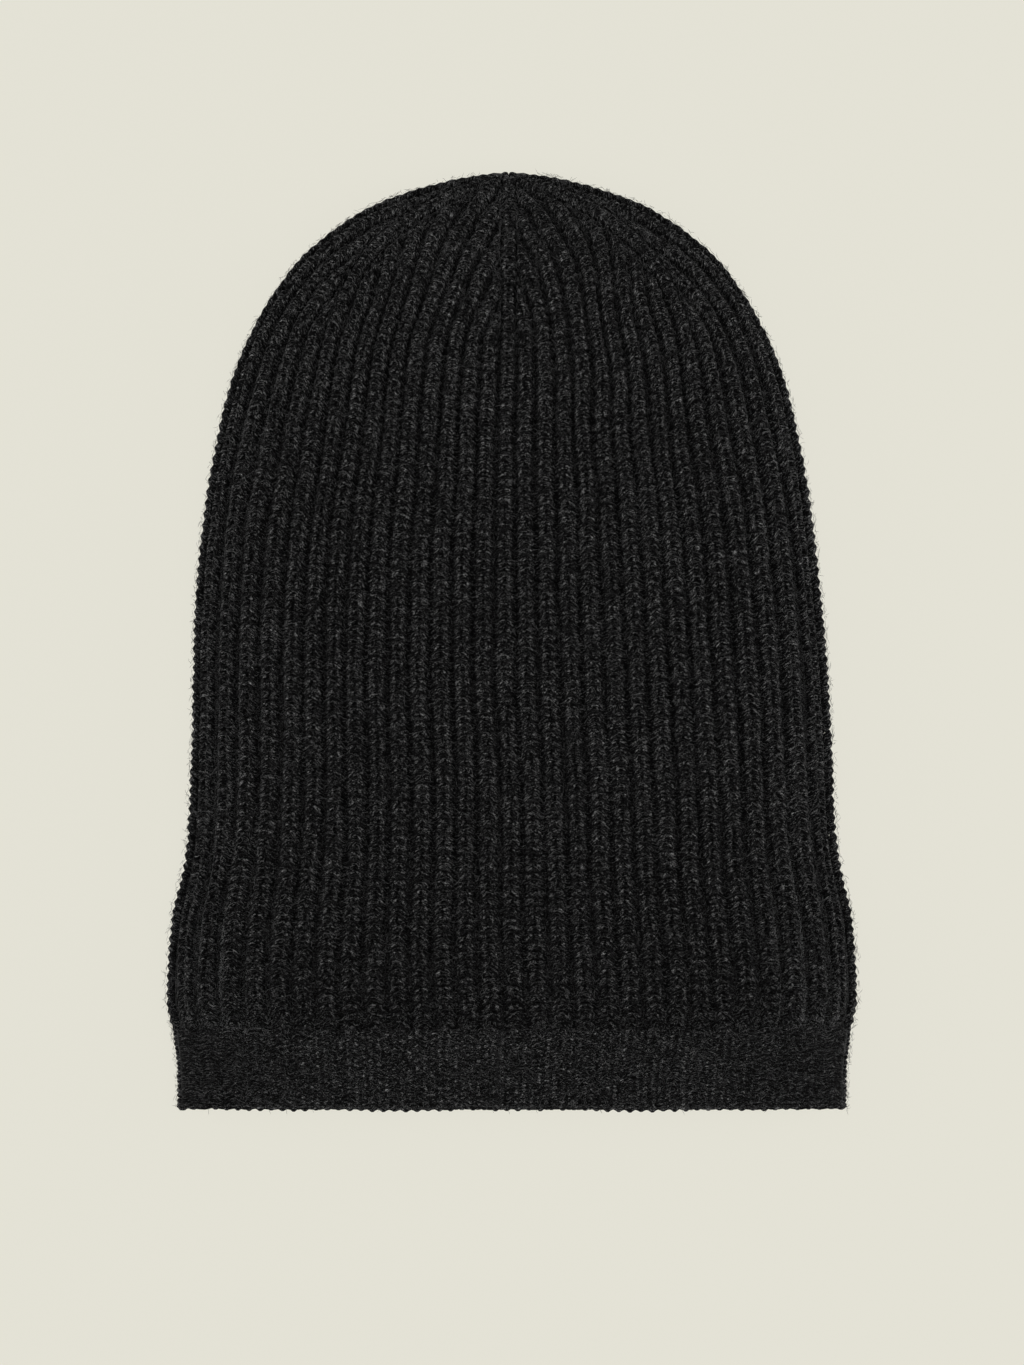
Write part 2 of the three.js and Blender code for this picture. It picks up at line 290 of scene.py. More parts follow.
melange = bpy.data.node_groups.new("melange_wool", "ShaderNodeTree")
for label, kind in (
    ("Yarn", "NodeSocketVector"),
    ("Place", "NodeSocketVector"),
    ("Dark", "NodeSocketColor"),
    ("Light", "NodeSocketColor"),
    ("Light share", "NodeSocketFloat"),
    ("Groove painted shade", "NodeSocketFloat"),
    ("Groove depth", "NodeSocketFloat"),
):
    melange.interface.new_socket(label, in_out="INPUT", socket_type=kind)
for label, kind in (("Colour", "NodeSocketColor"), ("Fibres", "NodeSocketFloat")):
    melange.interface.new_socket(label, in_out="OUTPUT", socket_type=kind)
given = melange.nodes.new("NodeGroupInput").outputs
put_out = melange.nodes.new("NodeGroupOutput").inputs


def add_node(tree, kind, values=None, links=None, **settings):
    """A node with its settings, its plain socket values, and what is linked into it."""
    node = tree.nodes.new(kind)
    for key, value in settings.items():
        setattr(node, key, value)
    for socket, value in (values or {}).items():
        node.inputs[socket].default_value = value
    for socket, source in (links or {}).items():
        tree.links.new(source, node.inputs[socket])
    return node


def stretched(scale):
    """The place in the yarn, stretched along and around it."""
    return add_node(melange, "ShaderNodeMapping", {"Scale": scale}, {"Vector": given["Yarn"]}).outputs[0]


def noise(vector, scale, detail, roughness, distortion=0.0):
    values = {"Scale": scale, "Detail": detail, "Roughness": roughness, "Distortion": distortion}
    return add_node(melange, "ShaderNodeTexNoise", values, {"Vector": vector}).outputs[0]


def maths(operation, values, links):
    return add_node(melange, "ShaderNodeMath", values, links, operation=operation).outputs[0]


def map_range(values, links, way="LINEAR"):
    return add_node(melange, "ShaderNodeMapRange", values, links, interpolation_type=way).outputs[0]


def parts_of(vector):
    return add_node(melange, "ShaderNodeSeparateXYZ", None, {0: vector}).outputs


# Fibres and flecks along the yarn, and fine curls over them where a noise crosses its middle
fibres = noise(stretched((0.55, 2.2, 1.3)), 1.0, 2.0, 0.65)
flecks = add_node(melange, "ShaderNodeTexVoronoi", {"Scale": 1.0}, {"Vector": stretched((1.3, 4.0, 0.0))})
curls = noise(given["Place"], 1250.0, 1.0, 0.5, 1.2)
curl_side = maths("SUBTRACT", {1: NOISE_MIDDLE}, {0: curls})
curl_away = maths("ABSOLUTE", None, {0: curl_side})
curl_line = map_range(
    {"From Min": 0.0, "From Max": 0.05, "To Min": 0.2, "To Max": 0.0}, {"Value": curl_away}
)
streaks = maths("MULTIPLY_ADD", {1: FIBRE_PART}, {0: fibres, 2: curl_line})
pattern = maths("MULTIPLY_ADD", {1: FLECK_PART}, {0: parts_of(flecks.outputs["Color"])["X"], 2: streaks})
light_start = maths("SUBTRACT", {0: FIRST_LIGHT}, {1: given["Light share"]})
light_mask = map_range({"From Max": FULL_LIGHT}, {"Value": pattern, "From Min": light_start}, "SMOOTHSTEP")
spun = add_node(
    melange,
    "ShaderNodeMix",
    None,
    {0: light_mask, 6: given["Dark"], 7: given["Light"]},
    data_type="RGBA",
)
# Soft blotches in the tone, and painted shade that darkens the grooves with their depth
blotches = noise(given["Place"], 260.0, 3.0, 0.7)
blotch_gain = map_range(
    {"From Min": 0.3, "From Max": 0.7, "To Min": 0.6, "To Max": 1.4}, {"Value": blotches}
)
painted_shade_gain = map_range(
    {"From Min": 0.5, "To Min": 1.0},
    {
        "Value": parts_of(given["Yarn"])["Z"],
        "From Max": given["Groove depth"],
        "To Max": given["Groove painted shade"],
    },
    "SMOOTHSTEP",
)
gain = maths("MULTIPLY", None, {0: blotch_gain, 1: painted_shade_gain})
shaded = add_node(
    melange, "ShaderNodeVectorMath", None, {0: spun.outputs[2], "Scale": gain}, operation="SCALE"
)
melange.links.new(shaded.outputs[0], put_out["Colour"])
melange.links.new(fibres, put_out["Fibres"])

DARK_FIBRE = (0.003, 0.003, 0.003)
LIGHT_FIBRE = (0.28, 0.279, 0.277)
FIBRE_DEPTH = 0.25  # relief of the fibres on a yarn


def new_material(name):
    """A material with no nodes yet, and its node tree."""
    material = bpy.data.materials.new(name)
    material.use_nodes = True
    material.node_tree.nodes.clear()
    return material, material.node_tree


# The darkest painted shade in the grooves is given as a share of the wool's colour, with the depth at which
# it is reached.
def wool(name, light_share, groove_painted_shade, groove_depth, relief_depth, dark, light):
    """Matt melange wool. Its colour and the relief of its fibres come from the melange group."""
    material, tree = new_material(name)
    yarn = add_node(tree, "ShaderNodeAttribute", attribute_name="yarn")
    place = add_node(tree, "ShaderNodeTexCoord")
    group = add_node(
        tree,
        "ShaderNodeGroup",
        {
            "Dark": (*dark, 1),
            "Light": (*light, 1),
            "Light share": light_share,
            "Groove painted shade": groove_painted_shade,
            "Groove depth": groove_depth,
        },
        {"Yarn": yarn.outputs["Vector"], "Place": place.outputs["Object"]},
        node_tree=melange,
    )
    relief = add_node(
        tree,
        "ShaderNodeBump",
        {"Strength": 0.6, "Distance": relief_depth * MM},
        {"Height": group.outputs["Fibres"]},
    )
    shader = add_node(
        tree,
        "ShaderNodeBsdfPrincipled",
        {"Roughness": 0.95, "Specular IOR Level": 0.05, "Sheen Weight": 0.17, "Sheen Roughness": 0.3},
        {"Base Color": group.outputs["Colour"], "Normal": relief.outputs[0]},
    )
    add_node(tree, "ShaderNodeOutputMaterial", None, {"Surface": shader.outputs[0]})
    return material


band_wool = wool(
    "band_wool",
    light_share=0.31,
    groove_painted_shade=0.47,
    groove_depth=1.8,
    relief_depth=FIBRE_DEPTH,
    dark=DARK_FIBRE,
    light=LIGHT_FIBRE,
)

backing_turns = np.arange(0, RIBS_AROUND, BACKING_TURN)[None, :]
backing_heights = np.linspace(BACKING_FOOT, BAND_HEIGHT + BACKING_REACH, BACKING_LEVELS)
outer_backing, _ = band_skin(backing_heights, BAND_BACKING, backing_turns)
inner_backing, _ = band_skin(backing_heights[::-1], BAND_WALL - INSIDE_BACKING, backing_turns)
band_rings = np.concatenate([outer_backing[:, 0], inner_backing[:, 0]])
band_ring_yarn = np.zeros(band_rings.shape)
# The outer backing lies deep, so its colour takes the full painted groove shade.
band_ring_yarn[:BACKING_LEVELS, :, 2] = BAND_BACKING
band_ring_faces = tube_faces(*band_rings.shape[:2], closed=True)
build("band_backing", "brim_band", band_rings, band_ring_faces, band_wool, band_ring_yarn)

# Stitches of the brim band, in the same wool. Each knitted row is one yarn that runs round the whole
# tube: up and over each flat knit wale, then down into the narrow groove, where it shows as one small
# purl bump. The rows inside the band show the back of the same stitches.
random = np.random.default_rng(23)

# Half a band stitch, from the groove to the middle of the wale. across is in rib pitches, up and the
# half width wide are in rows, and sink and thick in millimetres
BAND_STITCH = np.array(
    [
        # across, up, sink, wide, thick
        (0.50, -0.50, 0.00, 0.56, 1.30),
        (0.42, -0.46, 0.45, 0.56, 1.10),
        (0.34, -0.32, 1.40, 0.57, 0.40),
        (0.26, -0.14, 0.45, 0.57, 1.20),
        (0.16, 0.06, 0.00, 0.58, 1.60),
        (0.00, 0.22, 1.10, 0.56, 0.60),
    ]
)
HALF_A_RIB = 0.5
MIRRORED = np.array([-1, 1, 1, 1, 1])
# The back of the stitch has its wale where the front has its groove, and needs fewer points
INSIDE_STITCH = (BAND_STITCH[[0, 1, 3, 5]] * MIRRORED + [HALF_A_RIB, 0, 0, 0, 0])[::-1]

# Corners of a yarn's section, from its lower edge over its top at 0 to its upper edge
SECTION_ANGLES = np.radians([-112, -56, 0, 56, 112])
INSIDE_ANGLES = np.radians([-110, -35, 35, 110])
YARN_ARC = np.radians(100)  # how far round a yarn its wool shows, from its top to either edge
FOLD_FLATNESS = 0.38  # share of a stitch's roundness that is left where it faces sideways
ACROSS_YARN = 0.25  # how far a yarn's section turns from along the rib to square across the yarn
LEAST_PITCH = 0.5  # the rows' pitch is never taken as less than this share of its plain value
ROUND_PAINTED_SHADE = 1.4  # how much a yarn's rounding adds to the depth that sets its painted shade, against its sinking
WOOL_LENGTH = 500  # each row's wool starts somewhere in this length

BAND_ROWS = 17
BAND_ROW_PITCH = 1.55
BAND_BASE = 0.75  # height of the first row's middle over the brim edge
LOWEST_LEVEL = 0.1  # no skin point of the band lies nearer to the brim edge
BAND_JITTER = (0.02, 0.08, 0.06, 0.08)  # a stitch's sway in ribs, rise in rows, dip and swell
GRID_START = -1  # row of stitches at the first row of skin points
GRID_STEP = 0.5  # rows of stitches between rows of skin points
INSIDE_GRID = 1.001  # keeps a place just inside the last points


def whole_stitch(half):
    """A stitch from its left groove up to, but not with, its right groove."""
    return np.concatenate([half * MIRRORED, half[::-1][1:-1]])


def sample(grid, row, turn, across):
    """Values of a grid of skin points between its rows and columns. row is counted in grid rows."""
    row = np.clip(row, 0, len(grid) - INSIDE_GRID)
    column = np.clip((across + HALF_A_RIB) * (COLUMNS - 1), 0, COLUMNS - INSIDE_GRID)
    r, c = row.astype(int), column.astype(int)
    fr, fc = (row - r)[..., None], (column - c)[..., None]
    low = grid[r, turn, c] * (1 - fc) + grid[r, turn, c + 1] * fc
    high = grid[r + 1, turn, c] * (1 - fc) + grid[r + 1, turn, c + 1] * fc
    return low * (1 - fr) + high * fr


def row_yarn(
    skin, row, row_pitch, ribs, half, angles, jitter,
    sink_more=0.0, relief=1.0, stray=0.0, outward=1.0,
):
    """Points of one row's yarn, and their places along and around it. ribs are the turns of the ribs
    that the row runs over, relief is the share of full depth at each rib's right groove, stray is how
    far that groove lies off its place, and outward is -1 for a row that shows on the inside."""
    stitch = whole_stitch(half)
    count = len(stitch)
    turn = np.repeat(ribs, count)
    across, up, sink, wide, thick = [np.tile(column, len(ribs)) for column in stitch.T]
    sway, rise, dip, swell = [
        np.repeat(random.normal(0, size, len(ribs)), count) for size in jitter
    ]
    from_left = across + HALF_A_RIB
    relief, stray = [
        np.repeat(at_right, count) * from_left + np.repeat(np.roll(at_right, 1), count) * (1 - from_left)
        for at_right in (np.full(len(ribs), relief), np.full(len(ribs), stray))
    ]
    across = np.clip(across + sway * (1 - np.abs(across) * 2), -HALF_A_RIB, HALF_A_RIB)
    grid_row = (row - GRID_START) / GRID_STEP + (up + rise) / GRID_STEP
    centre = sample(skin[0], grid_row, turn, across)
    normal = outward * unit(sample(skin[1], grid_row, turn, across))
    run = unit(np.roll(centre, -1, axis=0) - np.roll(centre, 1, axis=0))
    centre = centre + run * stray[:, None]
    half_a_row = 0.5 / GRID_STEP
    above = sample(skin[0], grid_row + half_a_row, turn, across)
    below = sample(skin[0], grid_row - half_a_row, turn, across)
    up_rib = unit(outward * unit(above - below) + ACROSS_YARN * np.cross(normal, run))
    pitch = np.linalg.norm(above - below, axis=1)
    wide = wide * (1 + swell) * np.maximum(pitch, LEAST_PITCH * row_pitch)
    sunk = sink * relief + dip + sink_more * np.clip(normal[:, 2], 0, 1)
    thick = thick * (FOLD_FLATNESS + (1 - FOLD_FLATNESS) * np.abs(normal[:, 2]))
    round_off = thick[:, None] * (1 - np.cos(angles))[None, :]
    depth = sunk[:, None] + round_off
    points = (
        centre[:, None]
        + up_rib[:, None] * (wide[:, None] * np.sin(angles)[None, :])[..., None]
        - normal[:, None] * depth[..., None]
    )
    along = np.cumsum(np.linalg.norm(np.diff(centre, axis=0, prepend=centre[-1:]), axis=1))
    start, twist = random.uniform(0, WOOL_LENGTH, 2)
    # The third value is the depth that sets the painted shade, from the sinking and from the yarn's
    # rounding.
    yarn = np.stack(
        [
            np.broadcast_to(start + along[:, None], depth.shape),
            twist + wide[:, None] * YARN_ARC * np.sin(angles / 2)[None, :],
            sunk[:, None] + ROUND_PAINTED_SHADE * round_off,
        ],
        axis=-1,
    )
    return points, yarn


def yarn_piece(name, node, rows, material):
    """One piece from the yarns of many rows, each a closed ring."""
    points, yarns, faces, first = [], [], [], 0
    for row_points, row_yarns in rows:
        steps, sides = row_points.shape[:2]
        points.append(row_points.reshape(-1, 3))
        yarns.append(row_yarns.reshape(-1, 3))
        faces += tube_faces(steps, sides, closed=True, first=first)
        first += steps * sides
    build(name, node, np.concatenate(points), faces, material, np.concatenate(yarns))


band_grid = np.arange(GRID_START, BAND_ROWS + 1, GRID_STEP)
band_levels = np.maximum(BAND_BASE + band_grid * BAND_ROW_PITCH, LOWEST_LEVEL)
outer_band = band_skin(band_levels)
inner_band = band_skin(band_levels, BAND_WALL)

for name, skin, half, angles, outward in (
    ("band_rows", outer_band, BAND_STITCH, SECTION_ANGLES, 1.0),
    ("band_inside_rows", inner_band, INSIDE_STITCH, INSIDE_ANGLES, -1.0),
):
    rows = [
        row_yarn(skin, row, BAND_ROW_PITCH, every_rib, half, angles, BAND_JITTER, outward=outward)
        for row in range(BAND_ROWS)
    ]
    yarn_piece(name, "brim_band", rows, band_wool)

# Cast-on edge. The yarn that closes the band's free edge runs round it as one cord of the same wool,
# with a small bump under every column of stitches, two to a rib.
EDGE_BUMPS = 2 * RIBS_AROUND
EDGE_STEPS = 5  # rings of points along each bump
EDGE_ANGLES = np.radians([0, 60, 120, 180, 240, 300])
EDGE_RISE = 0.4  # height of the cord's middle over the brim edge
EDGE_THICK = 0.95
THIN_SHARE = 0.4  # the cord's share of that between two bumps
BUMP_SHARE = 1.05  # what a bump adds to it
BUMP_SIZES = (0.7, 1.25)
EDGE_INSET = 0.15  # how far the cord stays inside the wall
BUMP_OUT = 0.2  # how far a bump stands out from that
BUMP_GAP_SHADE = 0.3  # painted shade between two bumps, given as a depth below them
EDGE_WAVE = 0.35  # how far the edge wanders up and down
WAVE_TURNS = (0.83, 0.31)  # the edge's two slow waves, in radians to a rib
EDGE_RIB_PITCH = 7.3  # length of the edge to a rib

edge_turns = np.arange(EDGE_BUMPS * EDGE_STEPS) * RIBS_AROUND / (EDGE_BUMPS * EDGE_STEPS)
edge_skin = band_skin([EDGE_RISE], BAND_WALL / 2, edge_turns[None, :])
edge_place, edge_normal = [values[0, 0] for values in edge_skin]
bump = 0.5 - 0.5 * np.cos(2 * math.pi * edge_turns * EDGE_BUMPS / RIBS_AROUND)
bump = bump * np.repeat(random.uniform(*BUMP_SIZES, EDGE_BUMPS), EDGE_STEPS)
wave = EDGE_WAVE * np.sin(edge_turns * WAVE_TURNS[0]) * np.sin(edge_turns * WAVE_TURNS[1])
out_of_wall = (BAND_WALL / 2 - EDGE_INSET + BUMP_OUT * bump)[:, None] * np.cos(EDGE_ANGLES)[None, :]
down = (EDGE_THICK * (THIN_SHARE + BUMP_SHARE * bump))[:, None] * np.sin(EDGE_ANGLES)[None, :]
edge_points = edge_place[:, None] + edge_normal[:, None] * out_of_wall[..., None]
edge_points[..., 1] += wave[:, None] - down
edge_yarn = np.zeros(edge_points.shape)
edge_yarn[..., 0] = edge_turns[:, None] * EDGE_RIB_PITCH
edge_yarn[..., 1] = EDGE_ANGLES[None, :]
# Between the bumps the colour takes a little painted shade.
edge_yarn[..., 2] = BUMP_GAP_SHADE * (1 - bump[:, None])
edge_faces = tube_faces(len(edge_points), len(EDGE_ANGLES), closed=True)
build("cast_on_edge", "brim_band", edge_points, edge_faces, band_wool, edge_yarn)

# Fabric of the body and crown. The body is a tube of thick half-cardigan rib in the same wool,
# gathered to the tip by six darts and knitted on to the band at its foot. This piece is the fabric
# behind its stitches: smooth outside, where they cover it, and ribbed inside.
BODY_FOOT = 26.5  # height at which the body starts over the brim edge
BELOW_FOOT = 23.6  # a row below the foot, where the body's first row is joined to the band
TIP_HEIGHT = 306.4
BODY_WALL = 3.8
BODY_BACKING = 3.1  # depth of the backing below the tops of the stitches
KNIT_ROWS = 98.8  # rows from the foot to the tip
SHOULDER_ROW = 46  # rows keep their pitch up to here, and share out the rest of each line above it
MIDDLE_RIB = 5
SPINE_RIB = 2 * MIDDLE_RIB

# Guide lines of both layers, across from the middle and up: the outline at the fold, the side dart
# at the spine rib, the rib halfway to it, and the front or back dart at the centre
FOLD_LINE = [
    (110.0, BELOW_FOOT), (111.6, BODY_FOOT), (113.2, 32.5), (113.5, 39.5), (112.8, 52), (111.4, 64.5),
    (108.4, 77), (106.4, 91), (105.3, 115), (104, 148), (102, 175), (98.6, 203), (93.7, 228),
    (89.8, 241.5), (84.2, 254.5), (76.5, 267.5), (66.1, 280.5), (48.6, 293.6), (32.5, 300.3),
    (16, 304.6), (0, TIP_HEIGHT),
]
SPINE_LINE = [
    (75.1, BELOW_FOOT), (75.4, BODY_FOOT), (76, 45), (72, 91), (70.2, 148), (67.4, 190), (63.4, 215),
    (60.2, 240), (57.5, 254), (54, 264), (49.5, 273), (41, 283.5), (22.2, 297), (0, TIP_HEIGHT),
]
MIDDLE_LINE = [
    (37.6, BELOW_FOOT), (37.7, BODY_FOOT), (38, 45), (36, 91), (35.1, 148), (33.7, 190), (31.7, 215),
    (30.6, 238), (28.8, 251), (25.6, 265), (22, 279), (18.6, 286), (14.6, 293), (10.8, 298),
    (5.5, 303.4), (0, TIP_HEIGHT),
]
CENTRE_LINE = [(0, BELOW_FOOT), (0, BODY_FOOT), (0, 150), (0, TIP_HEIGHT)]
BODY_ROW_PITCH = 2.84  # along the centre line
MIDDLE_ROW_PITCH = 2.87
SPINE_ROW_PITCH = 2.96
FOLD_ROW_PITCH = 3.07
LINE_DETAIL = 40  # fine points between two points of a guide line
OUTLINE_DETAIL = 10

DENTS = [(21, 256, 13, 1.3), (48, 247, 16, 0.8)]  # across, up, radius, depth
VALLEY_HEIGHTS = (240, 280)  # between which the valley along the front dart deepens
VALLEY_DEPTH = 1.1
VALLEY_HALF_WIDTH = 7

FOLD_CROWDING = 1.5  # how much the backing's points crowd towards the fold
BACKING_ROWS = np.append([-0.9], np.arange(1, 95, 2.0))  # below the foot, then every other row
OUTER_TIP_ROWS = [95.5, 97]  # the smooth side has two rows more
OUTER_TIP = 1.0  # how far the smooth side ends below the crown tip
INNER_TIP = 6.5  # how far the hollow ends below it
INNER_TURN = 0.25  # ribs between the backing's points
INSIDE_RIB_DEPTH = 0.9


def smooth_line(points, steps=LINE_DETAIL):
    """A curve through given points, with the length up to each of its fine points."""
    p = np.array(points, float)
    p = np.concatenate([p[:1], p, p[-1:]])
    t = np.linspace(0, 1, steps, endpoint=False)[:, None]
    spans = []
    for a, b, c, d in zip(p[:-3], p[1:-2], p[2:-1], p[3:]):
        u, v = (c - a) / 2, (d - b) / 2
        spans.append((2 * b - 2 * c + u + v) * t**3 + (3 * c - 3 * b - 2 * u - v) * t**2 + u * t + b)
    line = np.concatenate([*spans, p[-1:]])
    lengths = np.append(0, np.cumsum(np.linalg.norm(np.diff(line, axis=0), axis=1)))
    return line, lengths


def guide(points, row_pitch):
    """A function for the point of a guide line that a row crosses, counted from the body's foot."""
    line, lengths = smooth_line(points)
    lengths = lengths - np.interp(BODY_FOOT, line[:, 1], lengths)
    shoulder = SHOULDER_ROW * row_pitch

    def at(row):
        spread = shoulder + (row - SHOULDER_ROW) * (lengths[-1] - shoulder) / (KNIT_ROWS - SHOULDER_ROW)
        reach = row * row_pitch if row < SHOULDER_ROW else spread
        return np.array([np.interp(reach, lengths, line[:, 0]), np.interp(reach, lengths, line[:, 1])])

    return at


centre_at = guide(CENTRE_LINE, BODY_ROW_PITCH)
middle_at = guide(MIDDLE_LINE, MIDDLE_ROW_PITCH)
spine_at = guide(SPINE_LINE, SPINE_ROW_PITCH)
fold_at = guide(FOLD_LINE, FOLD_ROW_PITCH)

outline = smooth_line(FOLD_LINE, OUTLINE_DETAIL)[0]
outline_steps = np.diff(outline, axis=0)
step_inward = unit(np.stack([-outline_steps[:, 1], outline_steps[:, 0]], axis=-1))
corner_inward = unit(
    np.concatenate([step_inward[:1], step_inward[1:] + step_inward[:-1], [[0.0, -1.0]]])
)


def body_edge(plan):
    """Distance from the body's outline, and the way inwards from there."""
    points = plan.reshape(-1, 1, 2)
    from_start = points - outline[None, :-1]
    along = np.sum(from_start * outline_steps, axis=-1) / np.sum(outline_steps**2, axis=-1)
    share = np.clip(along, 0, 1)
    away = np.linalg.norm(from_start - share[..., None] * outline_steps, axis=-1)
    nearest = np.argmin(away, axis=1)
    pick = np.arange(len(nearest))
    part = share[pick, nearest][:, None]
    inward = unit(corner_inward[nearest] * (1 - part) + corner_inward[nearest + 1] * part)
    return away[pick, nearest].reshape(plan.shape[:-1]), inward.reshape(plan.shape)


def body_dents(plan):
    """How much lower the top layer lies at its soft dents and along the front dart."""
    total = VALLEY_DEPTH * ease(plan[..., 1], *VALLEY_HEIGHTS)
    total = total * np.exp(-((plan[..., 0] / VALLEY_HALF_WIDTH) ** 2))
    for across, up, radius, depth in DENTS:
        away = np.hypot(plan[..., 0] - across, plan[..., 1] - up) / radius
        total = total + depth * np.exp(-(away**2))
    return total


def lift_body(plan, side, on_top, inset=0.0):
    top = lift(plan, side, True, body_edge, inset, dents=body_dents)
    under = lift(plan, side, False, body_edge, inset)
    chosen = on_top[..., None]
    return np.where(chosen, top[0], under[0]), np.where(chosen, top[1], under[1])


def backing_row(row, inset, turns):
    """A plain row of fabric that is shared out evenly between the guide lines."""
    side, on_top, rib = around(turns)
    fold = fold_at(row)
    stops = [centre_at(row), middle_at(row), spine_at(row), fold + body_edge(fold)[1] * inset]
    plan = np.zeros(turns.shape + (2,))
    for k, (start, end) in enumerate(zip(stops[:-1], stops[1:])):
        first, last = k * MIDDLE_RIB, (k + 1) * MIDDLE_RIB
        share = (rib - first) / MIDDLE_RIB
        if last == FOLD_RIB:
            share = 1 - (1 - np.clip(share, 0, 1)) ** FOLD_CROWDING
        here = (rib >= first) & (rib <= last)
        between = start * (1 - share[..., None]) + end * share[..., None]
        plan = np.where(here[..., None], between, plan)
    return lift_body(plan, side, on_top, inset)


def tip_point(below, inset):
    """The point that closes a side of the backing, so far below the crown tip."""
    return lift_body(np.array([[0, TIP_HEIGHT - below]]), np.ones(1), np.array([True]), inset)[0]


body_wool = wool(
    "body_wool",
    light_share=0.3,
    groove_painted_shade=0.41,
    groove_depth=2.7,
    relief_depth=FIBRE_DEPTH,
    dark=DARK_FIBRE,
    light=LIGHT_FIBRE,
)

inner_turns = np.arange(0, RIBS_AROUND, INNER_TURN)
inside_ribs = INSIDE_RIB_DEPTH * (0.5 + 0.5 * np.cos(2 * math.pi * inner_turns))
outer_rings = [
    backing_row(row, BODY_BACKING, inner_turns)[0] for row in np.append(BACKING_ROWS, OUTER_TIP_ROWS)
]
inner_rings = []
for row in BACKING_ROWS[::-1]:
    place, normal = backing_row(row, BODY_WALL, inner_turns)
    inner_rings.append(place + normal * inside_ribs[:, None])
wall = np.array(inner_rings + outer_rings)
wall_rings, wall_sides = wall.shape[:2]
wall_points = np.concatenate(
    [wall.reshape(-1, 3), tip_point(OUTER_TIP, BODY_BACKING), tip_point(INNER_TIP, BODY_WALL)]
)
outer_tip, inner_tip = len(wall_points) - 2, len(wall_points) - 1
last_ring = (wall_rings - 1) * wall_sides
wall_faces = tube_faces(wall_rings, wall_sides, closed=False)
for k in range(wall_sides):
    beside = (k + 1) % wall_sides
    wall_faces.append([last_ring + k, last_ring + beside, outer_tip])
    wall_faces.append([beside, k, inner_tip])
wall_yarn = np.zeros(wall_points.shape)
# The smooth outer side lies deep, so its colour takes the full painted groove shade.
wall_yarn[len(inner_rings) * wall_sides : inner_tip, 2] = BODY_BACKING
build("body_backing", "crown_body", wall_points, wall_faces, body_wool, wall_yarn)

# Stitches of the body and crown. Each row is one thick yarn of the wool, knitted round the tube: down
# into the groove between two ribs, up over a plump shoulder, a dip at the rib's middle, and over the
# other shoulder. The columns are those of the band's stitch.
BODY_STITCH = np.array(
    [
        # across, up, sink, wide, thick
        (0.50, -0.48, 2.95, 0.60, 0.20),
        (0.41, -0.38, 2.50, 0.60, 0.30),
        (0.31, -0.20, 1.15, 0.59, 1.10),
        (0.19, 0.02, 0.00, 0.57, 2.90),
        (0.09, 0.14, 0.50, 0.57, 2.90),
        (0.00, 0.20, 1.45, 0.56, 2.20),
    ]
)
# The same in the crown, where the rows are pulled long: smoother ribs between wider grooves
CROWN_STITCH = np.array(
    [
        # across, up, sink, wide, thick
        (0.50, -0.46, 3.30, 0.61, 0.10),
        (0.43, -0.40, 3.00, 0.61, 0.20),
        (0.35, -0.26, 1.50, 0.60, 0.60),
        (0.25, -0.05, 0.05, 0.58, 1.70),
        (0.12, 0.12, 0.20, 0.57, 1.70),
        (0.00, 0.18, 1.00, 0.56, 1.10),
    ]
)
BODY_JITTER = (0.03, 0.05, 0.06, 0.06)  # a stitch's sway in ribs, rise in rows, dip and swell
LAST_ROW = 98.5

# How the ribs close up in the crown
NARROWEST_RIB = 5.6  # no rib is narrower, so the ribs that have no room end at a dart
WIDENING = 1.0  # what the narrowest rib gains towards the tip
WIDENING_ROWS = (78, 90)
SKEW = 2.6  # how far the ribs halfway to the side darts lean over to the right in the crown
SKEW_ROWS = (76, 88)
TIP_ROWS = (93, KNIT_ROWS)  # where the skew goes again and the stitches get shallower
DART_CLEARANCE = 0.1  # a rib ends when its middle comes this close to a dart, in rib pitches
DART_MARGIN = 0.5  # and its points stay this far off, where the dart's own rib lies

# How the stitches change from row to row. Each pair of rows is where a change starts and is complete
CROWN_STITCH_ROWS = (56, 76)
FOOT_SINK, FOOT_SINK_ROWS = 1.2, (-0.5, 4.0)  # the top layer is drawn in where it meets the band
BULGE_SINK, BULGE_SINK_ROWS = 0.4, (6, 24)  # and a little less over the bulge above it
FOOT_RELIEF = 0.45  # share of the stitches' full depth at the foot
RELIEF_GAIN, RELIEF_ROWS = 0.6, (-0.5, 5.0)  # what it gains above the foot
RELIEF_LOSS, LOSS_ROWS = 0.07, (15, 30)  # and loses again over the bulge
TIP_LOSS = 0.5  # share of it that is lost at the tip
DART_RELIEF, DART_ROWS, DART_REACH = 0.5, (70, 84), 4  # deeper grooves, this many ribs round the front dart
STRAY_SIZE, STRAY_SPREAD = 0.26, 6  # how far a groove strays sideways, and over how many rows
UNEVENNESS, UNEVEN_SPREAD = 0.12, 4  # how unevenly deep the grooves are, and over how many rows
STRAY_OUT_ROWS = (90, KNIT_ROWS)  # where the grooves stop straying, towards the tip
WANDER_ROWS = 101  # enough for every row of stitches


def towards(start, end, distance):
    return start + unit(end - start) * distance[..., None]


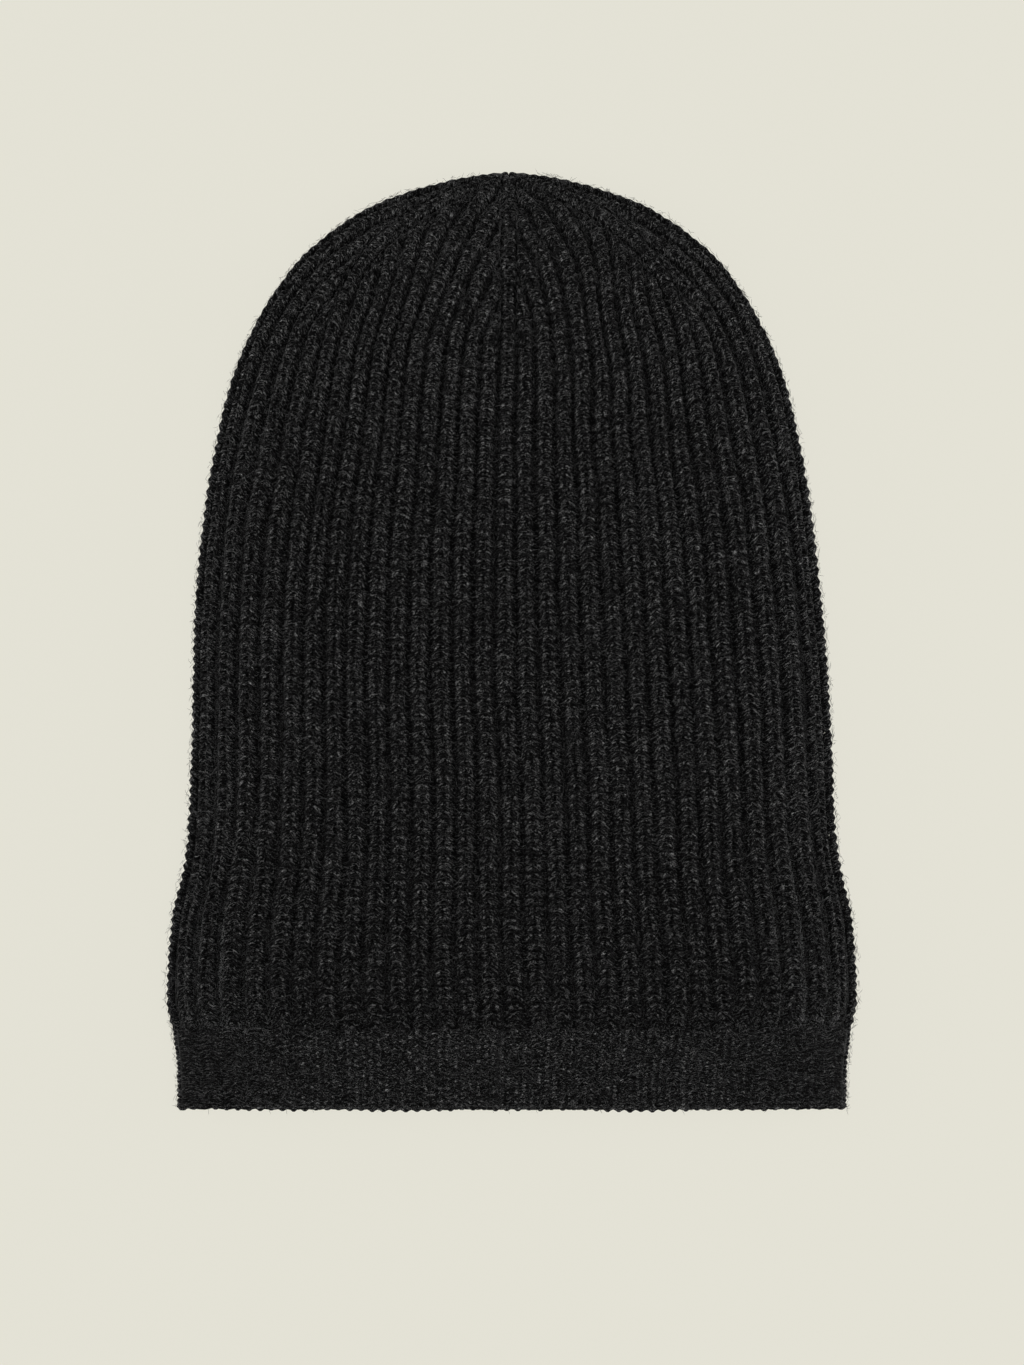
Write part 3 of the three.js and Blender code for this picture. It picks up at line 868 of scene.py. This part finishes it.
def ribbed_row(row):
    """Skin points across every rib at a row, and which ribs are still there. Ribs keep their pitch in
    the crown and end where they reach a dart, so that only the dart's own rib is left."""
    side, on_top, rib = around(rib_turns)
    own = every_rib[:, None]
    own_side, _, own_rib = around(own)
    offset = np.abs(rib_turns - own)
    is_dart = np.broadcast_to(own % SPINE_RIB == 0, rib.shape)
    centre, middle, spine, fold = centre_at(row), middle_at(row), spine_at(row), fold_at(row)
    skew = np.array([SKEW * ease(row, *SKEW_ROWS) * (1 - ease(row, *TIP_ROWS)), 0])
    narrowest = NARROWEST_RIB + WIDENING * ease(row, *WIDENING_ROWS)
    plan = np.zeros(rib.shape + (2,))
    there = np.ones(RIBS_AROUND, bool)
    for hand, start, end, home, low, high in (
        (1, middle + skew, centre, MIDDLE_RIB, 0, MIDDLE_RIB),
        (-1, middle - skew, centre, MIDDLE_RIB, 0, MIDDLE_RIB),
        (1, middle + skew, spine, MIDDLE_RIB, MIDDLE_RIB, SPINE_RIB),
        (-1, middle - skew, spine, MIDDLE_RIB, MIDDLE_RIB, SPINE_RIB),
        (1, fold, spine, FOLD_RIB, SPINE_RIB, FOLD_RIB),
        (-1, fold, spine, FOLD_RIB, SPINE_RIB, FOLD_RIB),
    ):
        here = (rib >= low) & (rib <= high) & (side == hand)
        own_here = ((own_rib >= low) & (own_rib <= high) & (own_side == hand))[:, 0]
        for front in (True, False):
            distances, arcs = arc_table(front, 0.0, fold[1], 0.0)
            span = np.linalg.norm(end - start)
            if home == FOLD_RIB:
                span = np.interp(span, distances, arcs)
            pitch = max(span / MIDDLE_RIB, narrowest)
            from_home = np.minimum(np.abs(rib - home) * pitch, span - DART_MARGIN * pitch)
            reach = np.maximum(np.where(is_dart, span - offset * pitch, from_home), 0)
            if home == FOLD_RIB:
                reach = np.interp(reach, arcs, distances)
            plan = np.where((here & (on_top == front))[..., None], towards(start, end, reach), plan)
            ended = np.abs(own_rib[:, 0] - home) * pitch >= span - DART_CLEARANCE * pitch
            there &= ~(own_here & ended & ~is_dart[:, 0])
    place, normal = lift_body(plan, side, on_top)
    return place, normal, there


def wander(reach, size):
    """Random numbers for every row and rib that change slowly from row to row."""
    raw = random.normal(0, size, (WANDER_ROWS + 2 * reach, RIBS_AROUND))
    window = np.hanning(2 * reach + 3)[1:-1]
    window /= np.sqrt(np.sum(window**2))
    return np.stack([np.convolve(column, window, mode="valid") for column in raw.T], axis=1)


body_grid = np.arange(GRID_START, LAST_ROW + GRID_STEP, GRID_STEP)
places, normals, ribs_there = [np.array(values) for values in zip(*[ribbed_row(row) for row in body_grid])]
body_skin = (places, normals)
groove_stray = wander(STRAY_SPREAD, STRAY_SIZE)
groove_relief = wander(UNEVEN_SPREAD, UNEVENNESS)
from_front_dart = np.minimum(every_rib, RIBS_AROUND - every_rib)


def body_row(row):
    """The yarn of one row of the body or crown, over the ribs that are still there."""
    number = int(row + 1)
    ribs = np.nonzero(ribs_there[int((row - GRID_START) / GRID_STEP)])[0]
    crown = ease(row, *CROWN_STITCH_ROWS)
    stitch = BODY_STITCH * (1 - crown) + CROWN_STITCH * crown
    sink_more = FOOT_SINK * (1 - ease(row, *FOOT_SINK_ROWS)) + BULGE_SINK * (1 - ease(row, *BULGE_SINK_ROWS))
    depth = FOOT_RELIEF + RELIEF_GAIN * ease(row, *RELIEF_ROWS) - RELIEF_LOSS * ease(row, *LOSS_ROWS)
    depth *= 1 - TIP_LOSS * ease(row, *TIP_ROWS)
    by_dart = DART_RELIEF * ease(row, *DART_ROWS) * np.exp(-((from_front_dart[ribs] / DART_REACH) ** 2))
    relief = depth * (1 + groove_relief[number, ribs] + by_dart)
    stray = groove_stray[number, ribs] * (1 - ease(row, *STRAY_OUT_ROWS))
    return row_yarn(
        body_skin, row, BODY_ROW_PITCH, ribs, stitch, SECTION_ANGLES, BODY_JITTER, sink_more, relief, stray
    )


for name, first_row, count in (
    ("body_lower_rows", -0.5, 33),
    ("body_upper_rows", 32.5, 33),
    ("crown_rows", 65.5, 34),
):
    rows = [body_row(row) for row in first_row + np.arange(count)]
    yarn_piece(name, "crown_body", rows, body_wool)

# Loose fibres. The wool is slightly hairy: short fine fibres, still held in the yarn at their roots,
# lie over the stitches in all directions and stand out a little along the outline.
FIBRE_RADIUS = 0.05
FIBRE_LENGTHS = (1.2, 3.2)
FIBRE_ROOTS = (0.0, 0.25)  # how deep a fibre starts below the skin
FIBRE_LIFTS = (-0.1, 0.45)  # how far its end stands off, as a share of its length
FIBRE_BEND = 0.35  # how far it bows sideways, likewise
FIBRE_TUCK = 0.1  # how far its end turns in again
FIBRE_ACROSS = 0.42  # fibres start this far either side of a rib's middle, in rib pitches
FIRST_GRID_ROW = 0.5
CORNER_ANGLES = np.radians([0, 120, 240])
FIBRE_SPOTS = (0.0, 0.33, 0.7, 1.0)  # its root, two rings of corners and its end
FIBRE_FACES = [
    (0, 2, 1), (0, 3, 2), (0, 1, 3), (1, 2, 5, 4), (2, 3, 6, 5), (3, 1, 4, 6),
    (4, 5, 7), (5, 6, 7), (6, 4, 7),
]
FIBRE_CORNERS = 8
FIBRE_WOOL = 3.7  # wool between one fibre's pattern and the next one's
CORNER_WOOL = 0.4  # and between its corners

loose_wool = wool(
    "loose_wool",
    light_share=0.4,
    groove_painted_shade=1.0,
    groove_depth=2.4,
    relief_depth=0.05,
    dark=(0.02, 0.02, 0.02),
    light=(0.24, 0.24, 0.24),
)


def scatter(limits, count):
    return random.uniform(*limits, count)[:, None]


def fibre_piece(name, node, skin, rows_left_free, count, at_fold):
    """Fine bent spindles scattered over a skin, up to its last rows of points, which are left free.
    at_fold is the share of them along the side folds."""
    along_fold = random.random(count) < at_fold
    fold_turn = np.where(random.random(count) < 0.5, FOLD_RIB, RIBS_AROUND - FOLD_RIB)
    turn = np.where(along_fold, fold_turn, random.integers(0, RIBS_AROUND, count))
    across = random.uniform(-FIBRE_ACROSS, FIBRE_ACROSS, count)
    row = random.uniform(FIRST_GRID_ROW, len(skin[0]) - rows_left_free, count)
    place = sample(skin[0], row, turn, across)
    normal = unit(sample(skin[1], row, turn, across))
    length = scatter(FIBRE_LENGTHS, count)
    way = random.normal(0, 1, (count, 3))
    way = unit(way - normal * np.sum(way * normal, axis=1, keepdims=True))
    lift_off = scatter(FIBRE_LIFTS, count)
    bend = np.cross(normal, way) * random.normal(0, FIBRE_BEND, count)[:, None]
    root = place - normal * scatter(FIBRE_ROOTS, count)
    spots = [
        root + (way * share + normal * lift_off * share + bend * share * (1 - share) * 2) * length
        for share in FIBRE_SPOTS
    ]
    other = np.cross(way, normal)
    corners = [
        spot + (normal * math.cos(angle) + other * math.sin(angle)) * FIBRE_RADIUS
        for spot in spots[1:3]
        for angle in CORNER_ANGLES
    ]
    points = np.stack([spots[0], *corners, spots[3] - normal * FIBRE_TUCK], axis=1)
    faces = [
        [corner + FIBRE_CORNERS * k for corner in face] for k in range(count) for face in FIBRE_FACES
    ]
    yarn = np.zeros(points.shape)
    yarn[..., 0] = np.arange(count)[:, None] * FIBRE_WOOL
    yarn[..., 1] = np.arange(FIBRE_CORNERS)[None, :] * CORNER_WOOL
    build(name, node, points, faces, loose_wool, yarn)


for name, node, slot, skin, rows_left_free, count, at_fold in (
    ("body_fibres", "crown_body", "body_knit", body_skin, 6, 12000, 0.12),
    ("band_fibres", "brim_band", "band_knit", outer_band, 3, 1800, 0.1),
):
    fibre_piece(name, node, skin, rows_left_free, count, at_fold)

# Floor and light. The beanie lies on a plain pale surface, which is evenly bright in the photograph,
# so most of its brightness is its own. The sky, one soft light overhead and a wide, low one at
# either side light the wool. Sizes here are metres.
FLOOR_HALF = 3
FLOOR_COLOUR = (0.768, 0.753, 0.665)
FLOOR_PAINT = 0.06  # share of its colour that shows light and shadow
FLOOR_GLOW = 0.955
SKY_STRENGTH = 0.47

floor_corners = [(x * FLOOR_HALF, y * FLOOR_HALF, 0) for x, y in ((-1, -1), (1, -1), (1, 1), (-1, 1))]
floor_mesh = bpy.data.meshes.new("floor")
floor_mesh.from_pydata(floor_corners, [], [(0, 1, 2, 3)])
floor = add_object("floor", floor_mesh)
floor_material, floor_tree = new_material("pale_floor")
painted = add_node(
    floor_tree, "ShaderNodeBsdfDiffuse", {"Color": (*[FLOOR_PAINT * c for c in FLOOR_COLOUR], 1)}
)
lit = add_node(floor_tree, "ShaderNodeEmission", {"Color": (*FLOOR_COLOUR, 1), "Strength": FLOOR_GLOW})
both = add_node(floor_tree, "ShaderNodeAddShader", None, {0: painted.outputs[0], 1: lit.outputs[0]})
add_node(floor_tree, "ShaderNodeOutputMaterial", None, {"Surface": both.outputs[0]})
floor_mesh.materials.append(floor_material)

world = bpy.data.worlds.new("studio")
world.use_nodes = True
background = world.node_tree.nodes["Background"]
background.inputs["Color"].default_value = (1, 1, 1, 1)
background.inputs["Strength"].default_value = SKY_STRENGTH
bpy.context.scene.world = world

for name, place, size, energy in (
    ("softbox_top", (0.12, -0.1, 0.6), 0.5, 0.68),
    ("softbox_right", (1.1, 0.0, 0.35), 0.7, 6.8),
    ("softbox_left", (-1.1, 0.0, 0.35), 0.7, 6.5),
):
    light_data = bpy.data.lights.new(name, "AREA")
    light_data.shape = "DISK"
    light_data.size = size
    light_data.energy = energy
    light = add_object(name, light_data)
    light.location = place
    light.rotation_euler = (-Vector(place)).to_track_quat("-Z", "Y").to_euler()

bpy.context.scene.view_settings.view_transform = "Standard"
